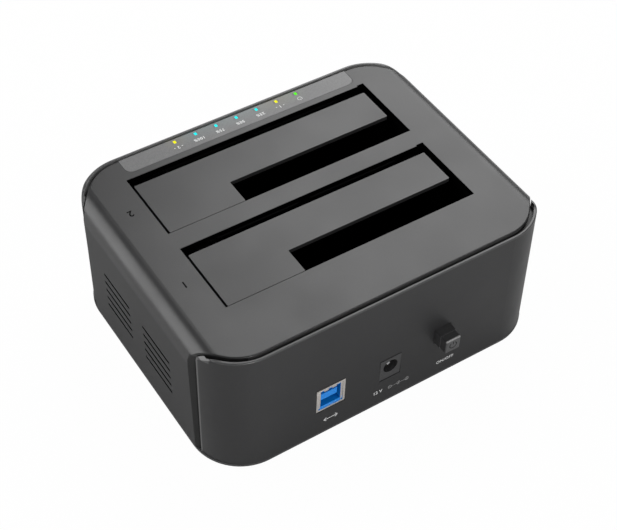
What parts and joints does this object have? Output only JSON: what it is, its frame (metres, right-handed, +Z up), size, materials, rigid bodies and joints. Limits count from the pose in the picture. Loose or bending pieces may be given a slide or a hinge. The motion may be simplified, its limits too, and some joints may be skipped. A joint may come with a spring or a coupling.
{
  "type": "hard drive docking station",
  "caption": "Desk-top docking station with sprung bay flaps that takes bare drives upright, with a power button and a strip of status lights.",
  "frame": {"origin": "on the table, under the middle of the whole object's outline, power button included", "axes": "+X along the bays, to the right seen from the socket side; +Y from the socket side to the light strip; +Z up"},
  "size_m": [0.1458, 0.1202, 0.0583],
  "materials": {
    "cover_plastic": "fine satin grain, black",
    "panel_plastic": "fine satin grain, black",
    "flap_plastic": "satin black",
    "base_plastic": "coarse grain, black",
    "well_plastic": "plain black moulding",
    "foot_rubber": "matt black",
    "strip_plastic": "smooth dark inlay",
    "yellow_light": "lit clear pipe",
    "cyan_light": "lit clear pipe",
    "green_light": "lit clear pipe",
    "board": "green solder mask",
    "chip": "moulded black package",
    "ferrite": "dark ferrite block",
    "can": "drawn can",
    "plated_shell": "nickel plated sheet",
    "blue_insulator": "moulded blue",
    "connector_plastic": "moulded black",
    "gold_contact": "gold plated",
    "pin_steel": "polished",
    "spring_steel": "bright wire",
    "button_plastic": "satin black",
    "switch_plastic": "moulded dark housing",
    "diode_resin": "milky resin",
    "socket_plastic": "natural nylon",
    "lead_jacket": "grey flat lead",
    "screw_steel": "black zinc"
  },
  "bodies": {
    "case": {"top_cover": "cover_plastic", "rear_panel": "panel_plastic", "front_panel": "panel_plastic", "base_plate": "base_plastic", "rubber_feet": "foot_rubber", "light_strip": "strip_plastic", "activity_lights": "yellow_light", "progress_lights": "cyan_light", "power_light": "green_light", "main_board": "board", "bridge_chip": "chip", "copy_chip": "chip", "board_crystal": "can", "board_capacitors": "can", "board_inductors": "ferrite", "board_regulators": "chip", "data_port_shell": "plated_shell", "data_port_insulator": "blue_insulator", "data_port_contacts": "gold_contact", "power_jack_body": "connector_plastic", "power_jack_pin": "pin_steel", "power_jack_contact": "gold_contact", "power_switch_body": "switch_plastic", "light_board": "board", "light_diodes": "diode_resin", "copy_switch": "switch_plastic", "board_socket": "socket_plastic", "light_socket": "socket_plastic", "board_lead": "lead_jacket", "case_screws": "screw_steel", "board_screws": "screw_steel", "bay_screws": "screw_steel", "light_board_screws": "screw_steel", "near_flap_pin": "pin_steel", "near_flap_spring": "spring_steel", "near_bay_well": "well_plastic", "near_drive_connector": "connector_plastic", "near_connector_contacts": "gold_contact", "far_flap_pin": "pin_steel", "far_flap_spring": "spring_steel", "far_bay_well": "well_plastic", "far_drive_connector": "connector_plastic", "far_connector_contacts": "gold_contact"},
    "near_flap": {"near_bay_flap": "flap_plastic"},
    "far_flap": {"far_bay_flap": "flap_plastic"},
    "power_button": {"power_button": "button_plastic"},
    "copy_button": {"copy_button": "button_plastic"}
  },
  "joints": [
    {"name": "near_flap_hinge", "type": "hinge", "parent": "case", "child": "near_flap", "pos_m": [0, 0.00653, 0.0537], "axis": [1, 0, 0], "range_deg": [0, 88], "stiffness_Nm_per_rad": 0.01, "springref_deg": -34.38, "deforming": ["near_flap_spring"]},
    {"name": "far_flap_hinge", "type": "hinge", "parent": "case", "child": "far_flap", "pos_m": [0, 0.04688, 0.0537], "axis": [1, 0, 0], "range_deg": [0, 88], "stiffness_Nm_per_rad": 0.01, "springref_deg": -34.38, "deforming": ["far_flap_spring"]},
    {"name": "power_press", "type": "slide", "parent": "case", "child": "power_button", "axis": [0, 1, 0], "range_m": [0, 0.0025], "stiffness_N_per_m": 300, "springref_m": -0.002},
    {"name": "copy_press", "type": "slide", "parent": "case", "child": "copy_button", "axis": [0, -1, 0], "range_m": [0, 0.0005], "stiffness_N_per_m": 800, "springref_m": -0.001}
  ]
}
